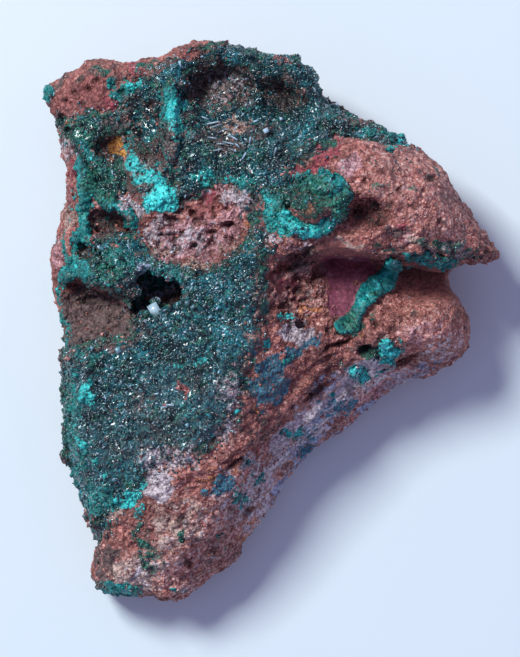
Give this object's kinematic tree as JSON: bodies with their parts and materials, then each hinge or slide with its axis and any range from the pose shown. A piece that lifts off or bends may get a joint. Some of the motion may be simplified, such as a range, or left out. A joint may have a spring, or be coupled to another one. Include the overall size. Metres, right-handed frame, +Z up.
{
  "type": "dioptase on matrix",
  "caption": "Broken hand specimen of rusty copper ore: a dark green dioptase druse covers its upper left side, with blue-green chrysocolla crusts, a cave, hollows and a pointed ledge.",
  "frame": {"origin": "centre of the bounding box in plan, on the plane that the specimen rests on", "axes": "+Z up, away from the resting plane; +Y along the specimen's length, from its narrow end with the foot crust towards the broad end with the hollows; +X towards the pointed ledge"},
  "size_m": [0.0914, 0.1124, 0.0433],
  "materials": {
    "matrix": "rough, granular, broken",
    "dioptase_druse": "glassy crystal faces",
    "chrysocolla_vein": "waxy, botryoidal",
    "chrysocolla_ledge": "waxy, botryoidal",
    "chrysocolla_knob": "waxy, botryoidal",
    "chrysocolla_bloom": "waxy, botryoidal",
    "chrysocolla_ridge": "waxy, botryoidal",
    "chrysocolla_wall": "waxy, botryoidal",
    "chrysocolla_flank_lump": "waxy, botryoidal",
    "chrysocolla_flank_spot": "waxy, botryoidal",
    "chrysocolla_foot": "waxy, botryoidal",
    "chrysocolla_tip": "waxy, botryoidal"
  },
  "bodies": {
    "root": {"matrix": "matrix", "dioptase_druse": "dioptase_druse", "chrysocolla_vein": "chrysocolla_vein", "chrysocolla_ledge": "chrysocolla_ledge", "chrysocolla_knob": "chrysocolla_knob", "chrysocolla_bloom": "chrysocolla_bloom", "chrysocolla_ridge": "chrysocolla_ridge", "chrysocolla_wall": "chrysocolla_wall", "chrysocolla_flank_lump": "chrysocolla_flank_lump", "chrysocolla_flank_spot": "chrysocolla_flank_spot", "chrysocolla_foot": "chrysocolla_foot", "chrysocolla_tip": "chrysocolla_tip"}
  },
  "joints": []
}
